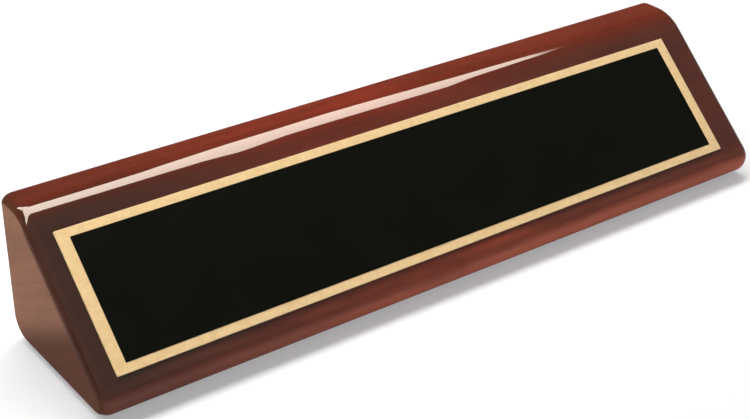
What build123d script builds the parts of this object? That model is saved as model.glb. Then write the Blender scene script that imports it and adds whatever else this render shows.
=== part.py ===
from build123d import *
from math import cos, radians, sin, tan
import os

# Desk name plate: a veneered wedge block with a bordered metal plate on its slope.
# Millimetres. X runs along the block, -Y is the front and Z is up.
# The origin is on the floor, under the middle of the block.

# The block, measured over the veneer with its corners taken as sharp
block_length = 215.9
block_height = 40.2
toe_height = 7.2
slope_angle = 42.2
top_width = 11.7

# Rounding of the finished block's edges
toe_base_radius = 5.0
toe_top_radius = 4.4
crown_radius = 14.0
top_back_radius = 2.5
base_back_radius = 7.0
end_radius = 2.2
toe_flat = 0.2
end_round_limit = 0.9

veneer_thickness = 0.6

# The metal plate, set in from the ends of the block and from the flat part of the slope,
# and stuck on a little to the left of the middle
plate_end_margin = 7.95
plate_slope_margin = 2.0
plate_shift = -2.4
plate_thickness = 0.4
plate_corner_radius = 0.5
end_border = 3.3
long_border = 2.4
field_thickness = 0.1

# The two tape strips that hold the plate
tape_thickness = 0.1
tape_setback = 3.0
tape_gap = 8.0

# The felt feet
foot_diameter = 10.0
foot_thickness = 1.0
foot_end_inset = 16.0
foot_edge_margin = 1.5

# Worked out from the sizes above
angle = radians(slope_angle)
slope_rise = block_height - toe_height
slope_run = slope_rise / tan(angle)
slope_length = slope_rise / sin(angle)
block_depth = slope_run + top_width
front_y = -block_depth / 2
back_y = block_depth / 2
base_z = foot_thickness
top_z = base_z + block_height

# Half the turn at the two ends of the slope: how far a rounding of radius 1 reaches from its corner
toe_bend = tan(radians((90 - slope_angle) / 2))
crown_bend = tan(angle / 2)

# The toe's two roundings are limited by its height, less the flat that is left between them.
toe_share = min(1, (toe_height - toe_flat) / (toe_base_radius + toe_top_radius * toe_bend))
toe_base_round = toe_base_radius * toe_share
toe_top_round = toe_top_radius * toe_share
profile_radii = [toe_base_round, toe_top_round, crown_radius, top_back_radius, base_back_radius]


def extrude_along(outline, length):
    # An outline drawn in the YZ plane, carried along X, with half its length on each side of the middle.
    return extrude(Plane.YZ.offset(-length / 2) * outline, amount=length)


def rounded_wedge(inset):
    # The block with every face moved inwards by the same amount, so that its roundings stay concentric.
    front = front_y + inset
    back = back_y - inset
    bottom = base_z + inset
    top = top_z - inset
    toe_top = base_z + toe_height - inset * toe_bend
    crown = front_y + slope_run + inset * crown_bend
    corners = [(front, bottom), (front, toe_top), (crown, top), (back, top), (back, bottom)]
    radii = [radius - inset for radius in profile_radii]
    outline = make_face(FilletPolyline(*corners, radius=radii, close=True))
    block = extrude_along(outline, block_length - 2 * inset)
    end_faces = block.faces().filter_by(Axis.X)
    # The rounding of the ends stays smaller than the corners that it runs round.
    end_round = min(end_radius, end_round_limit * min(profile_radii))
    return fillet(end_faces.edges(), end_round - inset)


def end_slab(x_low, x_high):
    # The whole height and depth of the block between two places along it.
    slab = Box(x_high - x_low, 2 * block_depth, 2 * top_z)
    return Pos((x_low + x_high) / 2, 0, 0) * slab


def mitre_prism(*corners):
    # The space between two mitre planes, whose corners lie in the YZ plane.
    return extrude_along(make_face(Polyline(*corners, close=True)), block_length)


def veneered_block():
    # A core with a sheet butted on each end, and sheets round its length that meet in mitres.
    block = rounded_wedge(0)
    core = rounded_wedge(veneer_thickness)
    sheet_end = block_length / 2 - veneer_thickness
    jacket = (block & end_slab(-sheet_end, sheet_end)) - core

    base_front = (front_y, base_z)
    toe_top = (front_y, base_z + toe_height)
    top_back = (back_y, top_z)
    base_back = (back_y, base_z)
    # The toe's two mitres meet where the distances to the base, the toe and the slope are equal.
    toe_reach = toe_height * cos(angle) / (1 - sin(angle) + cos(angle))
    toe_meet = (front_y + toe_reach, base_z + toe_reach)
    # The other mitres run far enough in to pass the veneer at the roundest corner.
    reach = max(toe_base_round, top_back_radius, base_back_radius)
    base_front_inner = (front_y + reach, base_z + reach)
    base_back_inner = (back_y - reach, base_z + reach)
    top_back_inner = (back_y - reach, top_z - reach)

    toe_space = mitre_prism(base_front, toe_top, toe_meet)
    base_space = mitre_prism(base_front, base_front_inner, base_back_inner, base_back)
    back_space = mitre_prism(base_back, base_back_inner, top_back_inner, top_back)
    return {
        "wedge_core": core,
        "face_veneer": jacket - toe_space - base_space - back_space,
        "toe_veneer": jacket & toe_space,
        "back_veneer": jacket & back_space,
        "base_veneer": jacket & base_space,
        "left_end_veneer": block & end_slab(-block_length, -sheet_end),
        "right_end_veneer": block & end_slab(sheet_end, block_length),
    }


def bordered_plate():
    # The plate lies midway up the flat part of the slope, between the two roundings, and is taped to it.
    flat_start = toe_top_round * toe_bend
    flat_end = slope_length - crown_radius * crown_bend
    middle = (flat_start + flat_end) / 2
    slope = Plane(
        origin=(plate_shift, front_y + middle * cos(angle), base_z + toe_height + middle * sin(angle)),
        x_dir=(1, 0, 0),
        z_dir=(0, -sin(angle), cos(angle)),
    )
    plate_length = block_length - 2 * plate_end_margin
    plate_width = flat_end - flat_start - 2 * plate_slope_margin
    plate_outline = RectangleRounded(plate_length, plate_width, plate_corner_radius)
    field_outline = Rectangle(plate_length - 2 * end_border, plate_width - 2 * long_border)
    plate_bottom = slope.offset(tape_thickness)
    plate_top = slope.offset(tape_thickness + plate_thickness)

    tape_length = plate_length - 2 * tape_setback
    tape_width = (plate_width - 2 * tape_setback - tape_gap) / 2
    tape_shift = (tape_gap + tape_width) / 2
    tape_outline = Rectangle(tape_length, tape_width)
    return {
        "name_plate": extrude(plate_bottom * plate_outline, amount=plate_thickness),
        "black_field": extrude(plate_top * field_outline, amount=field_thickness),
        "upper_tape": extrude(slope * Pos(0, tape_shift) * tape_outline, amount=tape_thickness),
        "lower_tape": extrude(slope * Pos(0, -tape_shift) * tape_outline, amount=tape_thickness),
    }


def felt_feet():
    # A round pad under each corner, stuck to the flat part of the base.
    side_x = block_length / 2 - foot_end_inset
    edge_inset = foot_edge_margin + foot_diameter / 2
    rows = {"front": front_y + toe_base_round + edge_inset, "back": back_y - base_back_radius - edge_inset}
    sides = {"left": -side_x, "right": side_x}
    feet = {}
    for row, y in rows.items():
        for side, x in sides.items():
            pad = Plane((x, y, 0)) * Circle(foot_diameter / 2)
            feet[f"{row}_{side}_foot"] = extrude(pad, amount=foot_thickness)
    return feet


os.makedirs("parts", exist_ok=True)
for name, piece in {**veneered_block(), **bordered_plate(), **felt_feet()}.items():
    export_step(piece, f"parts/{name}.step")
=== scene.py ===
import math

import bpy
import numpy as np
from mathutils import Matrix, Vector


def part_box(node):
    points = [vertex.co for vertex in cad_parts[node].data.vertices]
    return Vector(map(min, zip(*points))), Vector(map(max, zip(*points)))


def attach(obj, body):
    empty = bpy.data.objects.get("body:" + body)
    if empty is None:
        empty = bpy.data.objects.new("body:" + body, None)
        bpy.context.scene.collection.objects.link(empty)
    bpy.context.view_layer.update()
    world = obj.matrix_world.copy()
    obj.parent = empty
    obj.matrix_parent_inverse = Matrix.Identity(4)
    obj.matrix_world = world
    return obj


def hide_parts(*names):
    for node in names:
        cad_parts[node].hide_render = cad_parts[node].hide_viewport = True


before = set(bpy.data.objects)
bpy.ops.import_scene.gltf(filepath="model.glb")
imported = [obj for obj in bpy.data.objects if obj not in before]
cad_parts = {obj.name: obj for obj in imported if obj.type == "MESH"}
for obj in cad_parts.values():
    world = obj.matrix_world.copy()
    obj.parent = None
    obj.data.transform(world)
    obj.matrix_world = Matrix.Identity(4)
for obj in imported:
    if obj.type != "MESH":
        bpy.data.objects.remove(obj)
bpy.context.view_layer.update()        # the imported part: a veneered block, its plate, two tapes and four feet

mm = 0.001
print("frame loaded with", len(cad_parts), "nodes")


# Helpers for colours, nodes and meshes

def hexToLinear(code):
    # sRGB to linear: the straight foot of the curve below 0.04045, the 2.4 power above it
    srgb = [int(code[i:i + 2], 16) / 255 for i in (1, 3, 5)]
    return [c / 12.92 if c <= 0.04045 else ((c + 0.055) / 1.055) ** 2.4 for c in srgb] + [1.0]


def addNode(tree, kind, settings=None, links=None):
    # one node, with its settings (attributes or inputs) and the sockets that feed it
    node = tree.nodes.new(kind)
    for key, value in (settings or {}).items():
        if isinstance(key, str) and hasattr(node, key):
            setattr(node, key, value)
        else:
            node.inputs[key].default_value = value
    for key, source in (links or {}).items():
        tree.links.new(source, node.inputs[key])
    return node


def setStops(ramp, stops):
    # the colour stops of a ramp, as (place, colour) pairs
    elements = ramp.color_ramp.elements
    while len(elements) < len(stops):
        elements.new(1.0)
    for element, (place, colour) in zip(elements, stops):
        element.position = place
        element.color = colour


def newMaterial(name):
    # a material with an empty node tree
    material = bpy.data.materials.new(name)
    material.use_nodes = True
    material.node_tree.nodes.clear()
    return material, material.node_tree


def gridQuads(rows, cols):
    # corners of every cell of a rows x cols grid, columns first, so that they face out
    index = np.arange(rows * cols).reshape(rows, cols)
    cells = [index[:-1, :-1], index[:-1, 1:], index[1:, 1:], index[1:, :-1]]
    return np.stack([cell.ravel() for cell in cells], axis=1)


def putPiece(name, points, faces, normals, material, node, grain=None, edges=None):
    # points (n, 3) are in metres; faces is a list of index arrays, and normals the same list with a normal
    # for each corner; grain is each point's place on the flat veneer in metres, edges how much painted edge
    # shade it takes
    mesh = bpy.data.meshes.new(name)
    mesh.from_pydata(points.tolist(), [], [face.tolist() for group in faces for face in group])
    mesh.polygons.foreach_set("use_smooth", np.ones(len(mesh.polygons), bool))
    mesh.normals_split_custom_set(np.concatenate([group.reshape(-1, 3) for group in normals]).tolist())
    if grain is not None:
        faceCorners = np.concatenate([group.ravel() for group in faces])
        grainMap = mesh.uv_layers.new(name="grain")
        grainMap.uv.foreach_set("vector", grain[faceCorners].astype(np.float32).ravel())
        # how much painted shade and light each point's rounded edge takes
        edgeShading = mesh.attributes.new("edge", "FLOAT", "POINT")
        edgeShading.data.foreach_set("value", edges.astype(np.float32))
    mesh.materials.append(material)
    piece = bpy.data.objects.new(name, mesh)
    bpy.context.collection.objects.link(piece)
    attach(piece, "root")
    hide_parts(node)


# Materials

rosewoodLook = {
    "wood": "#6e2b1e",           # red-brown of most of the sheet
    "low": "#93422f",            # painted light: a paler run where the sheet meets the toe
    "leftDark": "#2b2520",          # darker towards the left end
    "dusk": "#3c241d",           # browner again at the right end
    "top": "#832e17",            # painted light: a redder run over the crown, where the light falls strongest
    "dark": "#2c1610",           # clouds, lines and pores
    "edge": "#4d3026",           # painted shade and light on the rounded edges, drawing them towards one mid brown
    "lowStart": (9.2, 6.2),      # mm round the block from the toe, where a run begins and where it is full
    "topStart": (50.0, 59.0),
    "runWander": 4.0,            # mm, how unevenly those two begin
    "leftDarkStart": (-5.0, -100.0),    # mm along the block
    "duskStart": (-10.0, 72.0),
    "cloudStart": (0.38, 0.72),  # values of the noise that draws each figure
    "lineStart": (0.42, 0.72),
    "poreStart": (0.60, 0.72),
    "cloudSize": (38.0, 10.0),   # mm along and across the grain
    "lineSize": (60.0, 1.6),
    "poreSize": (5.0, 0.35),     # pores are about 0.15 mm wide, drawn coarser so that they show
    "lowShare": 1.0,             # how far each colour covers what is under it
    "leftDarkShare": 0.82,
    "duskShare": 0.55,
    "topShare": 0.45,
    "cloudShare": 0.27,
    "lineShare": 0.18,
    "poreShare": 0.2,
    "edgeShare": 0.5,
    "poreDepth": 0.05,           # mm
    "woodRoughness": (0.42, 0.6),
    "gloss": 1.0,                # weight of the clear lacquer
    "glossRoughness": 0.03,
    "lacquerIor": 1.65,
    "waveSize": 22.0,            # mm, slow waves left in the polished lacquer
    "waveDepth": 0.06,           # mm
}
# the ends and the toe were rubbed, not polished. Light and shade are painted into their tones: the ends are
# paler towards the back and top, a painted reflection of the lit floor behind them, and darker at the front as
# painted shade, with painted shade along their upper edges; the toe is palest at its foot, painted light for
# the floor's bounce
endLook = dict(rosewoodLook, wood="#653419", top="#a87358", topStart=(8.5, 17.5), edge="#46261b",
               lowShare=0.0, leftDarkShare=0.0, duskShare=0.0, topShare=1.0, cloudShare=0.2, lineShare=0.1,
               poreShare=0.1, edgeShare=0.9, gloss=0.2, glossRoughness=0.3)
toeLook = dict(rosewoodLook, wood="#b85c43", lowStart=(3.0, 6.2),
               leftDarkShare=0.66, duskShare=0.0, topShare=0.0, cloudShare=0.12, lineShare=0.1,
               poreShare=0.1, edgeShare=0.2, gloss=0.3, glossRoughness=0.25)


def rosewoodVeneer(name, look):
    # Rosewood veneer, filled, stained and polished under thick clear lacquer: a deep red-brown, clouded
    # and faintly lined along the grain, with sharp reflections on top that waver a little. Light and shade
    # are also painted into its tone: runs paler or redder where light falls, and shade on the rounded edges.
    material, tree = newMaterial(name)
    coords = addNode(tree, "ShaderNodeTexCoord")
    flat = addNode(tree, "ShaderNodeUVMap", {"uv_map": "grain"})
    way = addNode(tree, "ShaderNodeSeparateXYZ", {}, {0: flat.outputs["UV"]})
    # the painted edge shade and light, read from each point's edge value
    edgeShading = addNode(tree, "ShaderNodeAttribute", {"attribute_name": "edge"})
    figure = {}                  # each figure in the wood is stretched along the grain to its own size
    for key, detail in (("cloud", 4.0), ("line", 4.0), ("pore", 2.0)):
        along, across = (1 / (size * mm) for size in look[key + "Size"])
        sized = addNode(tree, "ShaderNodeMapping", {"Scale": (along, across, 1.0)},
                        {"Vector": flat.outputs["UV"]})
        figure[key] = addNode(tree, "ShaderNodeTexNoise",
                              {"noise_dimensions": "2D", "Scale": 1.0, "Detail": detail, "Distortion": 0.3},
                              {"Vector": sized.outputs["Vector"]}).outputs["Fac"]
    wander = look["runWander"] * mm
    wayRound = addNode(tree, "ShaderNodeMath", {"operation": "MULTIPLY_ADD", 1: wander},
                       {0: figure["cloud"], 2: way.outputs["Y"]}).outputs[0]
    # what is laid over the wood, in order: its name, its pattern, and where it begins and where it is full
    layers = [
        # painted light: the paler run near the toe
        ("low", wayRound, [place * mm + wander / 2 for place in look["lowStart"]]),
        ("leftDark", way.outputs["X"], [place * mm for place in look["leftDarkStart"]]),
        ("dusk", way.outputs["X"], [place * mm for place in look["duskStart"]]),
        # painted light: the redder run over the crown, and on an end its painted pale back
        ("top", wayRound, [place * mm + wander / 2 for place in look["topStart"]]),
        ("cloud", figure["cloud"], look["cloudStart"]),
        ("line", figure["line"], look["lineStart"]),
        ("pore", figure["pore"], look["poreStart"]),
        # painted shade and light on the rounded edges
        ("edge", edgeShading.outputs["Fac"], (0.0, 1.0)),
    ]
    tone = None
    for key, pattern, (begins, full) in layers:
        mask = addNode(tree, "ShaderNodeMapRange",
                       {"interpolation_type": "SMOOTHSTEP", "From Min": begins, "From Max": full,
                        "To Max": look[key + "Share"]}, {"Value": pattern})
        cover = addNode(tree, "ShaderNodeMix",
                        {"data_type": "RGBA", 6: hexToLinear(look["wood"]),
                         7: hexToLinear(look.get(key, look["dark"]))}, {"Factor": mask.outputs[0]})
        if tone is not None:     # the first lies on bare wood, each of the others on the one before
            tree.links.new(tone, cover.inputs[6])
        tone = cover.outputs[2]
    wave = addNode(tree, "ShaderNodeTexNoise", {"Scale": 1 / (look["waveSize"] * mm), "Detail": 1.0},
                   {"Vector": coords.outputs["Object"]})
    lacquerFace = addNode(tree, "ShaderNodeBump", {"Strength": 1.0, "Distance": look["waveDepth"] * mm},
                          {"Height": wave.outputs["Fac"]})
    woodFace = addNode(tree, "ShaderNodeBump",
                       {"Strength": 0.4, "Distance": look["poreDepth"] * mm, "invert": True},
                       {"Height": figure["pore"]})
    smooth, rough = look["woodRoughness"]
    roughness = addNode(tree, "ShaderNodeMapRange", {"To Min": smooth, "To Max": rough},
                        {"Value": figure["line"]})
    shader = addNode(tree, "ShaderNodeBsdfPrincipled",
                     {"Specular IOR Level": 0.0, "Coat Weight": look["gloss"],
                      "Coat Roughness": look["glossRoughness"], "Coat IOR": look["lacquerIor"]},
                     {"Base Color": tone, "Roughness": roughness.outputs[0],
                      "Normal": woodFace.outputs[0], "Coat Normal": lacquerFace.outputs[0]})
    addNode(tree, "ShaderNodeOutputMaterial", {}, {"Surface": shader.outputs[0]})
    return material


brassLook = {
    "dull": "#eddcb6",
    "bright": "#f5e8c9",
    "toneStart": (0.35, 0.65),   # values of the noise where it is dull and where it is bright
    "brushSize": (9.0, 0.22),    # mm; brush marks are about 0.05 mm wide, drawn coarser so that they show
    "brushDepth": 0.03,          # mm
    "mottleSize": 1.6,           # mm
    "roughness": (0.80, 0.92),
}


def satinBrass(look):
    # Sheet brass, brushed along its length and lacquered: pale gold, with a soft even sheen and fine marks.
    material, tree = newMaterial("satinBrass")
    coords = addNode(tree, "ShaderNodeTexCoord")
    along, across = (1 / (size * mm) for size in look["brushSize"])
    stretched = addNode(tree, "ShaderNodeMapping", {"Scale": (along, across, across)},
                        {"Vector": coords.outputs["Object"]})
    brush = addNode(tree, "ShaderNodeTexNoise", {"Scale": 1.0, "Detail": 3.0},
                    {"Vector": stretched.outputs["Vector"]})
    mottle = addNode(tree, "ShaderNodeTexNoise", {"Scale": 1 / (look["mottleSize"] * mm), "Detail": 4.0},
                     {"Vector": coords.outputs["Object"]})
    blend = addNode(tree, "ShaderNodeMix", {"data_type": "FLOAT", "Factor": 0.5},
                    {2: brush.outputs["Fac"], 3: mottle.outputs["Fac"]})
    tone = addNode(tree, "ShaderNodeValToRGB", {}, {"Fac": blend.outputs[0]})
    dullAt, brightAt = look["toneStart"]
    setStops(tone, [(dullAt, hexToLinear(look["dull"])), (brightAt, hexToLinear(look["bright"]))])
    smooth, rough = look["roughness"]
    roughness = addNode(tree, "ShaderNodeMapRange", {"To Min": smooth, "To Max": rough},
                        {"Value": brush.outputs["Fac"]})
    face = addNode(tree, "ShaderNodeBump", {"Strength": 0.25, "Distance": look["brushDepth"] * mm},
                   {"Height": brush.outputs["Fac"]})
    shader = addNode(tree, "ShaderNodeBsdfPrincipled", {"Metallic": 1.0},
                     {"Base Color": tone.outputs["Color"], "Roughness": roughness.outputs[0],
                      "Normal": face.outputs[0]})
    addNode(tree, "ShaderNodeOutputMaterial", {}, {"Surface": shader.outputs[0]})
    return material


lacquerLook = {
    "black": "#060a05",
    "grey": "#0a0d08",
    "toneStart": (0.4, 0.7),     # values of the noise where it is black and where it is grey
    "peelSize": 0.8,             # mm, the sprayed film's fine orange peel
    "peelDepth": 0.02,           # mm
    "smearSize": 14.0,           # mm, faint wiping marks
    "roughness": (0.26, 0.36),
    "shine": 0.15,               # a weak reflection, as the film is matted
}


def blackLacquer(look):
    # Sprayed and baked black lacquer: a near-black film with a satin face,
    # faintly uneven where it was wiped.
    material, tree = newMaterial("blackLacquer")
    coords = addNode(tree, "ShaderNodeTexCoord")
    peel = addNode(tree, "ShaderNodeTexNoise", {"Scale": 1 / (look["peelSize"] * mm), "Detail": 2.0},
                   {"Vector": coords.outputs["Object"]})
    smear = addNode(tree, "ShaderNodeTexNoise",
                    {"Scale": 1 / (look["smearSize"] * mm), "Detail": 5.0, "Distortion": 0.6},
                    {"Vector": coords.outputs["Object"]})
    tone = addNode(tree, "ShaderNodeValToRGB", {}, {"Fac": smear.outputs["Fac"]})
    blackAt, greyAt = look["toneStart"]
    setStops(tone, [(blackAt, hexToLinear(look["black"])), (greyAt, hexToLinear(look["grey"]))])
    smooth, rough = look["roughness"]
    roughness = addNode(tree, "ShaderNodeMapRange", {"To Min": smooth, "To Max": rough},
                        {"Value": smear.outputs["Fac"]})
    face = addNode(tree, "ShaderNodeBump", {"Strength": 0.15, "Distance": look["peelDepth"] * mm},
                   {"Height": peel.outputs["Fac"]})
    shader = addNode(tree, "ShaderNodeBsdfPrincipled", {"IOR": 1.5, "Specular IOR Level": look["shine"]},
                     {"Base Color": tone.outputs["Color"], "Roughness": roughness.outputs[0],
                      "Normal": face.outputs[0]})
    addNode(tree, "ShaderNodeOutputMaterial", {}, {"Surface": shader.outputs[0]})
    return material


feltLook = {
    "body": "#1c1815",
    "fleck": "#3a332d",
    "size": 0.6,                 # mm, of the flecks
    "depth": 0.25,               # mm, how far they stand out
    "roughness": 0.9,
    "sheen": 0.3,
}
fibreboardLook = dict(feltLook, body="#8a6a45", fleck="#b8986c", size=0.9, depth=0.05,
                      roughness=0.75, sheen=0.0)
tapeLook = dict(feltLook, body="#cfcbc2", fleck="#e6e3db", size=0.5, depth=0.05, roughness=0.7, sheen=0.0)
fleckStart = (0.35, 0.68)        # values of the noise where a fleck begins and where it is full


def flecked(name, look):
    # Pressed wool, raw fibreboard or foam tape: a matt body with flecks of a second colour,
    # which are its fibres or the cells of the foam.
    material, tree = newMaterial(name)
    coords = addNode(tree, "ShaderNodeTexCoord")
    flecks = addNode(tree, "ShaderNodeTexNoise",
                     {"Scale": 1 / (look["size"] * mm), "Detail": 6.0, "Roughness": 0.7},
                     {"Vector": coords.outputs["Object"]})
    tone = addNode(tree, "ShaderNodeValToRGB", {}, {"Fac": flecks.outputs["Fac"]})
    bodyAt, fleckAt = fleckStart
    setStops(tone, [(bodyAt, hexToLinear(look["body"])), (fleckAt, hexToLinear(look["fleck"]))])
    roughness = addNode(tree, "ShaderNodeMapRange", {"To Min": look["roughness"], "To Max": 1.0},
                        {"Value": flecks.outputs["Fac"]})
    face = addNode(tree, "ShaderNodeBump", {"Strength": 0.6, "Distance": look["depth"] * mm},
                   {"Height": flecks.outputs["Fac"]})
    shader = addNode(tree, "ShaderNodeBsdfPrincipled", {"Sheen Weight": look["sheen"]},
                     {"Base Color": tone.outputs["Color"], "Roughness": roughness.outputs[0],
                      "Normal": face.outputs[0]})
    addNode(tree, "ShaderNodeOutputMaterial", {}, {"Surface": shader.outputs[0]})
    return material


polished = rosewoodVeneer("polishedRosewood", rosewoodLook)
rubbed = rosewoodVeneer("rubbedRosewood", endLook)
rubbedToe = rosewoodVeneer("rubbedRosewoodToe", toeLook)
brass = satinBrass(brassLook)
lacquer = blackLacquer(lacquerLook)
felt = flecked("woolFelt", feltLook)
fibreboard = flecked("fibreboard", fibreboardLook)
tape = flecked("foamTape", tapeLook)
print("materials made")


# The veneered block

block = {
    "toeHeight": 7.2,            # mm, to the sharp corner
    "slope": 42.2,               # degrees
    "toeBaseRadius": 5.0,        # mm, as are the radii and lengths below
    "toeTopRadius": 4.4,
    "crownRadius": 14.0,
    "topBackRadius": 2.5,
    "baseBackRadius": 7.0,
    "endReach": 3.2,             # how far along the block the end's rounding begins
    "endDrop": 2.2,              # how far it falls
    "endGrain": 28.0,            # degrees, how steeply the ends' grain and their painted light rise to the front
    "endShift": 300.0,           # how far away in the wood the ends were cut
    "shadeReach": (0.15, 1.5),   # how far painted edge shade runs over the flat of an end, and along the slope
    "shadeSlope": (0.45, 0.65),  # how far an edge faces the front where that begins and where it is full
    "shadeFill": 2.5,            # how soon the painted shade is full, going up the rounding
    "shadeTurn": 1.3,            # and as an edge turns to face up
    "degreesPerStep": 2.0,       # along a rounding
    "endSteps": 14,              # across the rounding of an end
}

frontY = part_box("toe_veneer")[0].y
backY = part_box("back_veneer")[1].y
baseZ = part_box("base_veneer")[0].z
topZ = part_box("face_veneer")[1].z
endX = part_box("right_end_veneer")[1].x
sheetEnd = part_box("right_end_veneer")[0].x
sheetThickness = endX - sheetEnd
toeTopZ = baseZ + block["toeHeight"] * mm
slopeAngle = math.radians(block["slope"])
slopeFacing = 90.0 + block["slope"]
crownY = frontY + (topZ - toeTopZ) / math.tan(slopeAngle)

# Each corner of the profile: y, z, the way its two faces look in degrees from +Y, and its radius
profileCorners = {
    "toeBase": (frontY, baseZ, 270.0, 180.0, block["toeBaseRadius"] * mm),
    "toeTop": (frontY, toeTopZ, 180.0, slopeFacing, block["toeTopRadius"] * mm),
    "crown": (crownY, topZ, slopeFacing, 90.0, block["crownRadius"] * mm),
    "topBack": (backY, topZ, 90.0, 0.0, block["topBackRadius"] * mm),
    "baseBack": (backY, baseZ, 0.0, -90.0, block["baseBackRadius"] * mm),
}


def roundCorner(name, start, end):
    # A share of a corner's arc: its centre lies r (n0 + n1) / (1 + n0.n1) inside the sharp corner,
    # and its points lie r from there along normals that turn steadily from n0 to n1.
    y, z, first, last, radius = profileCorners[name]
    n0, n1 = (np.array([math.cos(math.radians(a)), math.sin(math.radians(a))]) for a in (first, last))
    centre = np.array([y, z]) - radius * (n0 + n1) / (1 + n0 @ n1)
    steps = max(2, round(abs(last - first) * (end - start) / block["degreesPerStep"]))
    turn = np.radians(first + (last - first) * np.linspace(start, end, steps + 1))
    normals = np.stack([np.cos(turn), np.sin(turn)], axis=1)
    return centre + radius * normals, normals


def joinRuns(*runs):
    # several arcs one after the other; the straight faces are the gaps between them
    points, normals = zip(*[roundCorner(*run) for run in runs])
    return np.concatenate(points), np.concatenate(normals)


def wayAlong(points, start):
    # distance along a run of points, in metres
    steps = np.linalg.norm(np.diff(points, axis=0), axis=1)
    return start + np.concatenate([[0.0], np.cumsum(steps)])


sheets = {                       # in order round the block; neighbours meet halfway round a corner
    "toe": joinRuns(("toeBase", 0.5, 1.0), ("toeTop", 0.0, 0.5)),
    "face": joinRuns(("toeTop", 0.5, 1.0), ("crown", 0.0, 1.0), ("topBack", 0.0, 0.5)),
    "back": joinRuns(("topBack", 0.5, 1.0), ("baseBack", 0.0, 0.5)),
    "base": joinRuns(("baseBack", 0.5, 1.0), ("toeBase", 0.0, 0.5)),
}
endReach, endDrop = block["endReach"] * mm, block["endDrop"] * mm
endTurn = math.asin(1 - sheetThickness / endReach)    # how far round the end a long sheet reaches
coreRound = endDrop - sheetThickness                  # the core's ends are rounded to fit


def endRound(turn):
    # the rounding of an end, a quarter ellipse: way along, fall and lean for a turn from 0 to a right angle
    lean = np.arctan2(endDrop * np.sin(turn), endReach * np.cos(turn))
    return endReach * np.sin(turn), endDrop * (1 - np.cos(turn)), lean


def longSheet(name, profile, node, start, finish):
    # A bent sheet: the profile p(u) carried along x(v). Near each end the surface turns by an angle t:
    # point = p - n fall(t), x = end - reach + reach sin t, normal = n cos(lean) with x sin(lean).
    # The inner face lies on the core: the profile moved in by the thickness, with a quarter round at each
    # end. The rim joins the two, each of its quads facing across its diagonals.
    points, normals = profile
    side = np.repeat([-1.0, 1.0], block["endSteps"])
    part = np.linspace(0, 1, block["endSteps"])
    part = np.concatenate([part[::-1], part])
    along, fall, lean = endRound(part * endTurn)
    x = side * (endX - endReach + along)
    quarter = part * math.pi / 2
    innerX = side * (sheetEnd - coreRound + coreRound * np.sin(quarter))
    innerFall = sheetThickness + coreRound * (1 - np.cos(quarter))
    rows, cols = len(points), len(x)
    outer, inner, facing = (np.empty((rows, cols, 3)) for each in range(3))
    outer[..., 0], inner[..., 0], facing[..., 0] = x, innerX, side * np.sin(lean)
    outer[..., 1:] = points[:, None] - normals[:, None] * fall[None, :, None]
    inner[..., 1:] = points[:, None] - normals[:, None] * innerFall[None, :, None]
    facing[..., 1:] = normals[:, None] * np.cos(lean)[None, :, None]
    solid = np.concatenate([outer.reshape(-1, 3), inner.reshape(-1, 3)])
    facing = facing.reshape(-1, 3)
    count = rows * cols
    outerQuads = gridQuads(rows, cols)
    innerQuads = outerQuads[:, ::-1]
    index = np.arange(count).reshape(rows, cols)
    rim = np.concatenate([index[0, :-1], index[:-1, -1], index[-1, :0:-1], index[:0:-1, 0]])
    rimNext = np.roll(rim, -1)
    rimQuads = np.stack([rimNext, rim, rim + count, rimNext + count], axis=1)
    first, second, third, fourth = (solid[corner] for corner in rimQuads.T)
    rimFacing = np.cross(third - first, fourth - second)
    rimFacing /= np.linalg.norm(rimFacing, axis=1, keepdims=True)
    wayRound = wayAlong(points, start)
    grain = np.stack(np.broadcast_arrays(x[None, :], wayRound[:, None]), axis=-1).reshape(-1, 2)
    edges = np.broadcast_to(np.sin(2 * lean), (rows, cols)).ravel()
    putPiece(name, solid, [outerQuads, innerQuads + count, rimQuads],
             [facing[outerQuads], -facing[innerQuads], np.repeat(rimFacing[:, None], 4, axis=1)],
             finish, node, np.tile(grain, (2, 1)), np.tile(edges, 2))
    return wayRound[-1]


def outlineTurn(points):
    # twice the area that an outline encloses, positive where it runs anticlockwise
    after = np.roll(points, -1, axis=0)
    return np.sum(points[:, 0] * after[:, 1] - points[:, 1] * after[:, 0])


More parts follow.
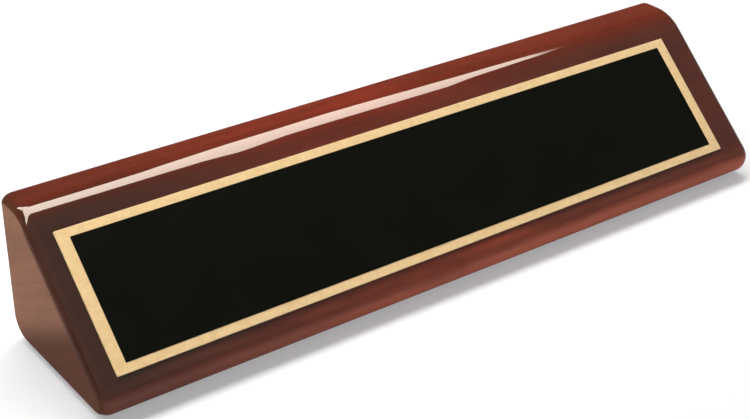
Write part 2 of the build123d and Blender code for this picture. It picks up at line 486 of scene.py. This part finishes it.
def ringSolid(name, outline, rings, place, material, node, grainShift=None, edges=None):
    # A closed slab: an outline (points and outward normals in a plane) carried up through rings of
    # (height, inset, tilt), closed flat at both ends. Normals lean from sideways to upright by the tilt.
    # An inset is one length, or a length for each point of the outline.
    points, normals = outline
    origin, sideways, upwards, outwards = (np.array(v) for v in place)
    height, tilt = (np.array([ring[part] for ring in rings])[:, None, None] for part in (0, 2))
    inset = np.stack([np.broadcast_to(ring[1], len(points)) for ring in rings])[..., None]
    flat = points[None] - normals[None] * inset
    solid = origin + flat[..., :1] * sideways + flat[..., 1:] * upwards + height * outwards
    level = normals[None, :, :1] * sideways + normals[None, :, 1:] * upwards
    facing = (np.cos(tilt) * level + np.sin(tilt) * outwards).reshape(-1, 3)
    count = len(points)
    index = np.arange(len(rings) * count).reshape(len(rings), count)
    after = np.roll(index, -1, axis=1)
    quads = np.stack([c.ravel() for c in (index[:-1], after[:-1], after[1:], index[1:])], axis=1)
    bottom, top = index[:1, ::-1], index[-1:]
    if np.cross(sideways, upwards) @ outwards * outlineTurn(points) < 0:
        quads, bottom, top = quads[:, ::-1], bottom[:, ::-1], top[:, ::-1]
    caps = [np.broadcast_to(outwards * way, (count, 3)) for way in (-1.0, 1.0)]
    grain = None
    if grainShift is not None:   # the sheet was laid with its grain turned
        turn = math.radians(block["endGrain"])
        across = np.array([math.sin(turn), math.cos(turn)])
        along = np.array([-across[1], across[0]])
        grain = np.stack([flat @ along, flat @ across], axis=-1).reshape(-1, 2) + grainShift
    putPiece(name, solid.reshape(-1, 3), [quads, bottom, top], [facing[quads], *caps],
             material, node, grain, edges)


roundBlock = 0.0
for key, profile in sheets.items():
    finish = rubbedToe if key == "toe" else polished
    roundBlock = longSheet(f"{key}Sheet", profile, f"{key}_veneer", roundBlock, finish)

wholePoints = np.concatenate([points[:-1] for points, normals in sheets.values()])
wholeNormals = np.concatenate([normals[:-1] for points, normals in sheets.values()])
along, fall, lean = endRound(np.linspace(endTurn, math.pi / 2, block["endSteps"]))
endRings = list(zip(endX - endReach + along, fall, lean))
# painted shade covers the rounding of the upper edges, and along the slope it runs on over the flat of the end
slopeBegins, slopeFull = block["shadeSlope"]
onSlope = np.clip((-wholeNormals[:, 0] - slopeBegins) / (slopeFull - slopeBegins), 0, 1)
upperEdge = np.clip(block["shadeTurn"] * wholeNormals[:, 1], 0, 1)
edgeShade = np.clip(block["shadeFill"] * np.cos(lean)[:, None] + onSlope, 0, 1) * upperEdge
leastReach, slopeReach = block["shadeReach"]
endRings.append((endX, endDrop + (leastReach + (slopeReach - leastReach) * onSlope) * mm, math.pi / 2))
edgeShade = np.concatenate([edgeShade, np.zeros((1, len(onSlope)))]).ravel()
for side, direction in (("left", -1.0), ("right", 1.0)):
    ringSolid(f"{side}EndSheet", (wholePoints, wholeNormals), endRings,
              ((0, 0, 0), (0, 1, 0), (0, 0, 1), (direction, 0, 0)), rubbed, f"{side}_end_veneer",
              grainShift=(direction * block["endShift"] * mm, 0.0), edges=edgeShade)
print("veneers laid on the block")


# The plate and its black field

plate = {
    "cornerRadius": 0.3,         # mm
    "edgeRadius": 0.08,          # the sheared edge, eased by hand
    "fieldCorner": 0.12,
    "fieldEdge": 0.06,
    "cornerSteps": 8,
    "edgeSteps": 6,
}
upSlope = np.array([0.0, math.cos(slopeAngle), math.sin(slopeAngle)])
offSlope = np.array([0.0, -math.sin(slopeAngle), math.cos(slopeAngle)])


def slopeSpans(node):
    # how far a node reaches along the block, up the slope and off it: its least and greatest value each way
    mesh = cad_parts[node].data
    points = np.empty((len(mesh.vertices), 3), np.float32)
    mesh.vertices.foreach_get("co", points.ravel())
    ways = points.astype(float) @ np.stack([(1.0, 0.0, 0.0), upSlope, offSlope], axis=1)
    return zip(ways.min(axis=0), ways.max(axis=0))


def roundedRectangle(halfLength, halfWidth, radius, steps):
    # four quarter arcs, anticlockwise from the right-hand side, with the straight sides between them
    turn = np.radians(np.linspace(0, 90, steps + 1))
    quarters = [turn + k * math.pi / 2 for k in range(4)]
    middle = np.array([(halfLength - radius, halfWidth - radius)]) * [(1, 1), (-1, 1), (-1, -1), (1, -1)]
    normals = np.concatenate([np.stack([np.cos(t), np.sin(t)], axis=1) for t in quarters])
    return np.repeat(middle, steps + 1, axis=0) + radius * normals, normals


def easedRings(thickness, edge, steps):
    # straight up from the back, then a quarter round of the edge's radius on to the face
    tilts = np.linspace(0, math.pi / 2, steps)
    upper = [(thickness - edge + edge * math.sin(t), edge * (1 - math.cos(t)), t) for t in tilts]
    return [(0.0, 0.0, 0.0)] + upper


def slopeSlab(name, node, material, corner, edge):
    # a flat slab on the slope that fills its node's box, with round corners and an eased face
    (x0, x1), (u0, u1), (n0, n1) = slopeSpans(node)
    outline = roundedRectangle((x1 - x0) / 2, (u1 - u0) / 2, corner * mm, plate["cornerSteps"])
    origin = np.array([(x0 + x1) / 2, 0, 0]) + upSlope * (u0 + u1) / 2 + offSlope * n0
    ringSolid(name, outline, easedRings(n1 - n0, edge * mm, plate["edgeSteps"]),
              (origin, (1, 0, 0), upSlope, offSlope), material, node)


slopeSlab("brassPlate", "name_plate", brass, plate["cornerRadius"], plate["edgeRadius"])
slopeSlab("blackField", "black_field", lacquer, plate["fieldCorner"], plate["fieldEdge"])
print("plate fixed to the slope")


# Felt feet

feet = {
    "steps": 72,
    "rings": 7,
    "fray": 0.12,                # mm, how far the cut edge wanders
    "waves": (5, 11, 17),        # how many times it wanders, going round
    "tuck": 0.35,                # mm, how far the pad draws in at its top and bottom
    "lean": 0.9,                 # radians, how far its side leans there
}


def feltFoot(name, node):
    # A punched pad: a circle whose radius wanders by three sines. Its side draws in by the fourth power of
    # the height from its middle, so it bulges between a pressed base and the block.
    low, high = (np.array(v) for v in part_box(node))
    turn = np.linspace(0, 2 * math.pi, feet["steps"], endpoint=False)
    phases = (low[0] * 90, low[1] * 70, 0.0)          # so that no two feet are the same
    wander = sum(np.sin(count * turn + phase) for count, phase in zip(feet["waves"], phases))
    radius = (high[0] - low[0]) / 2 - feet["fray"] * mm * (1 + wander / 3) / 2
    normals = np.stack([np.cos(turn), np.sin(turn)], axis=1)
    height = high[2] - low[2]
    up = np.linspace(0, 1, feet["rings"])
    offMiddle = 2 * up - 1
    rings = list(zip(height * up, feet["tuck"] * mm * offMiddle ** 4, feet["lean"] * offMiddle ** 3))
    origin = ((low[0] + high[0]) / 2, (low[1] + high[1]) / 2, low[2])
    ringSolid(name, (radius[:, None] * normals, normals), rings, (origin, (1, 0, 0), (0, 1, 0), (0, 0, 1)),
              felt, node)


for row in ("front", "back"):
    for side in ("left", "right"):
        feltFoot(f"{row}{side.title()}Felt", f"{row}_{side}_foot")
print("feet added")

for node, material in (("wedge_core", fibreboard), ("upper_tape", tape), ("lower_tape", tape)):
    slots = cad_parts[node].material_slots
    for place in range(len(slots)):
        slots[place].material = material
print("hidden core and tapes finished")


# Floor, light and camera

studio = {
    "floorSize": 6.0,            # m
    "floorColour": "#c7d4e3",    # a cool pale card, which the warm lamps turn neutral
    "floorGlow": 0.32,           # lifts the card to white where the camera or a reflection sees it
    "fibreSize": 1.111,          # mm; fibres of card are far finer, drawn coarser so that they show
    "fibreDepth": 0.02,          # mm
    "worldColour": "#fff3e6",
    "backStrength": 0.10,        # the room's ceiling, darker to the back
    "frontStrength": 0.27,
    "ceilingTurn": (0.3, -0.4),  # where it is darkest and palest: 1 is straight back, -1 is to the front
    "wallStrength": 0.5,         # pale walls all round, so that low reflections aren't dark
    "wallHeight": 0.3,           # sine of the angle up to their top
}
keyBox = {                       # behind and above: it draws the long highlight on the crown
    "size": (1.2, 0.36),         # m
    "place": (-0.135, 0.18, 0.50),
    "power": 14.2,               # W
    "colour": "#fff0e0",
    "fade": (0.02, 0.035, 0.02, 0.02),    # share of the cloth over which it fades: left, right, near, far
    "rightStart": (0.65, 0.91),  # shares along where it starts to dim to the right, and where that is full
    "rightEnd": 0.78,            # how bright its right end is, beside its middle
    # the rims of its cloth: shares across, for shares along
    "nearRim": ((0.0, 0.08), (0.11, 0.06), (0.325, 0.0), (0.66, 0.25), (0.70, 0.22), (0.75, 0.19),
                (0.772, 0.08), (0.80, 0.215), (0.83, 0.20), (0.90, 0.125), (0.92, 0.235), (0.98, 0.335),
                (1.0, 0.46)),
    "farRim": ((0.0, 0.10), (0.11, 0.11), (0.325, 0.25), (0.43, 0.59), (0.505, 0.76), (0.66, 0.74),
               (0.70, 0.69), (0.74, 0.705), (0.755, 0.77), (0.80, 0.87), (0.87, 0.915), (0.90, 0.80),
               (0.904, 0.725), (0.92, 0.70), (0.95, 0.60), (0.985, 0.535), (1.0, 0.46)),
}
keyWing = {                      # the key's far left corner: it draws the highlight's pointed end
    "size": (0.36, 0.32),
    "place": (-0.28, 0.33, 0.498),    # just under the key, which would hide it
    "power": 3.8,
    "colour": "#fff0e0",
    "fade": (0.02, 0.02, 0.02, 0.02),
    "rightStart": (0.65, 0.91),
    "rightEnd": 1.0,
    "nearRim": ((0.0, 0.94), (0.03, 0.94), (0.61, 0.18), (0.72, 0.18), (0.86, 0.28), (1.0, 0.325)),
    "farRim": ((0.0, 0.94), (0.03, 0.94), (1.0, 0.32)),
}


def whiteFloor(look):
    # Matt card: lit as it is, and lifted to white where the camera or a reflection sees it.
    material, tree = newMaterial("mattCard")
    coords = addNode(tree, "ShaderNodeTexCoord")
    fibre = addNode(tree, "ShaderNodeTexNoise", {"Scale": 1 / (look["fibreSize"] * mm), "Detail": 2.0},
                    {"Vector": coords.outputs["Object"]})
    face = addNode(tree, "ShaderNodeBump", {"Strength": 0.1, "Distance": look["fibreDepth"] * mm},
                   {"Height": fibre.outputs["Fac"]})
    card = addNode(tree, "ShaderNodeBsdfDiffuse", {"Color": hexToLinear(look["floorColour"])},
                   {"Normal": face.outputs[0]})
    path = addNode(tree, "ShaderNodeLightPath")
    either = addNode(tree, "ShaderNodeMath", {"operation": "MAXIMUM"},
                     {0: path.outputs["Is Camera Ray"], 1: path.outputs["Is Glossy Ray"]})
    seen = addNode(tree, "ShaderNodeMath", {"operation": "MAXIMUM"},
                   {0: either.outputs[0], 1: path.outputs["Is Transmission Ray"]})
    lift = addNode(tree, "ShaderNodeMath", {"operation": "MULTIPLY", 1: look["floorGlow"]},
                   {0: seen.outputs[0]})
    glow = addNode(tree, "ShaderNodeEmission", {}, {"Strength": lift.outputs[0]})
    both = addNode(tree, "ShaderNodeAddShader", {}, {0: card.outputs[0], 1: glow.outputs[0]})
    addNode(tree, "ShaderNodeOutputMaterial", {}, {"Surface": both.outputs[0]})
    return material


def paleRoom(look):
    # A plain room: pale walls up to their height, and above them a dim ceiling that is paler to the front.
    world = bpy.data.worlds.new("studio")
    world.use_nodes = True
    tree = world.node_tree
    tree.nodes.clear()
    coords = addNode(tree, "ShaderNodeTexCoord")
    ways = addNode(tree, "ShaderNodeSeparateXYZ", {}, {0: coords.outputs["Generated"]})
    darkest, palest = look["ceilingTurn"]
    ceiling = addNode(tree, "ShaderNodeMapRange",
                      {"interpolation_type": "SMOOTHSTEP", "From Min": darkest, "From Max": palest,
                       "To Min": look["backStrength"], "To Max": look["frontStrength"]},
                      {"Value": ways.outputs["Y"]})
    walls = addNode(tree, "ShaderNodeMapRange",
                    {"interpolation_type": "SMOOTHSTEP", "From Max": look["wallHeight"],
                     "To Min": look["wallStrength"]},
                    {"Value": ways.outputs["Z"], "To Max": ceiling.outputs[0]})
    ambient = addNode(tree, "ShaderNodeBackground", {"Color": hexToLinear(look["worldColour"])},
                      {"Strength": walls.outputs[0]})
    addNode(tree, "ShaderNodeOutputWorld", {}, {"Surface": ambient.outputs[0]})
    return world


def softbox(name, look):
    # A rectangular lamp with a cloth cut to two rims, each a line of shares across for shares along.
    # It is full where a point lies inside all four sides by more than the side's fade.
    lamp = bpy.data.lights.new(name, "AREA")
    lamp.shape = "RECTANGLE"
    lamp.color = hexToLinear(look["colour"])[:3]
    lamp.size, lamp.size_y = look["size"]
    lamp.energy = look["power"]
    lamp.use_nodes = True
    tree = lamp.node_tree
    tree.nodes.clear()
    cloth = addNode(tree, "ShaderNodeNewGeometry")
    part = addNode(tree, "ShaderNodeSeparateXYZ", {}, {0: cloth.outputs["Parametric"]})
    along, across = part.outputs["X"], part.outputs["Y"]
    rims = {}
    for rim in ("nearRim", "farRim"):
        line = addNode(tree, "ShaderNodeValToRGB", {}, {"Fac": along})
        setStops(line, [(place, (share, share, share, 1.0)) for place, share in look[rim]])
        rims[rim] = line.outputs["Color"]
    rightGap = addNode(tree, "ShaderNodeMath", {"operation": "SUBTRACT", 0: 1.0}, {1: along})
    nearGap = addNode(tree, "ShaderNodeMath", {"operation": "SUBTRACT"}, {0: across, 1: rims["nearRim"]})
    farGap = addNode(tree, "ShaderNodeMath", {"operation": "SUBTRACT"}, {0: rims["farRim"], 1: across})
    dims, dimmed = look["rightStart"]
    light = addNode(tree, "ShaderNodeMapRange",
                    {"From Min": dims, "From Max": dimmed, "To Min": 1.0, "To Max": look["rightEnd"]},
                    {"Value": along}).outputs[0]
    for gap, fade in zip((along, rightGap.outputs[0], nearGap.outputs[0], farGap.outputs[0]), look["fade"]):
        side = addNode(tree, "ShaderNodeMapRange", {"interpolation_type": "SMOOTHSTEP", "From Max": fade},
                       {"Value": gap})
        light = addNode(tree, "ShaderNodeMath", {"operation": "MULTIPLY"},
                        {0: side.outputs[0], 1: light}).outputs[0]
    glow = addNode(tree, "ShaderNodeEmission", {}, {"Strength": light})
    addNode(tree, "ShaderNodeOutputLight", {}, {"Surface": glow.outputs[0]})
    holder = bpy.data.objects.new(name, lamp)
    holder.location = look["place"]
    bpy.context.collection.objects.link(holder)


half = studio["floorSize"] / 2
floorMesh = bpy.data.meshes.new("floor")
floorCorners = [(-half, -half, 0), (half, -half, 0), (half, half, 0), (-half, half, 0)]
floorMesh.from_pydata(floorCorners, [], [(0, 1, 2, 3)])
floorMesh.materials.append(whiteFloor(studio))
floor = bpy.data.objects.new("floor", floorMesh)
bpy.context.collection.objects.link(floor)
bpy.context.scene.world = paleRoom(studio)
softbox("keyBox", keyBox)
softbox("keyWing", keyWing)

camera = {
    "lens": 76.23,               # mm
    "sensor": 36.0,              # mm
    "aim": (-10.59, 3.75, 14.12),    # mm
    "distance": 429.0,           # mm
    "azimuth": -36.48,           # degrees from the front, to the left
    "elevation": 29.17,
    "roll": 0.5,
}
azimuth, elevation = math.radians(camera["azimuth"]), math.radians(camera["elevation"])
backwards = Vector((math.sin(azimuth) * math.cos(elevation), -math.cos(azimuth) * math.cos(elevation),
                    math.sin(elevation)))
lens = bpy.data.cameras.new("camera")
lens.lens = camera["lens"]
lens.sensor_width = camera["sensor"]
lens.clip_start = 0.01           # m
viewer = bpy.data.objects.new("camera", lens)
viewer.location = Vector(camera["aim"]) * mm + backwards * camera["distance"] * mm
viewer.rotation_euler = (-backwards).to_track_quat("-Z", "Y").to_matrix().to_euler()
viewer.rotation_euler.rotate_axis("Z", math.radians(camera["roll"]))
bpy.context.collection.objects.link(viewer)
bpy.context.scene.camera = viewer
bpy.context.scene.view_settings.view_transform = "Standard"
print("studio set")
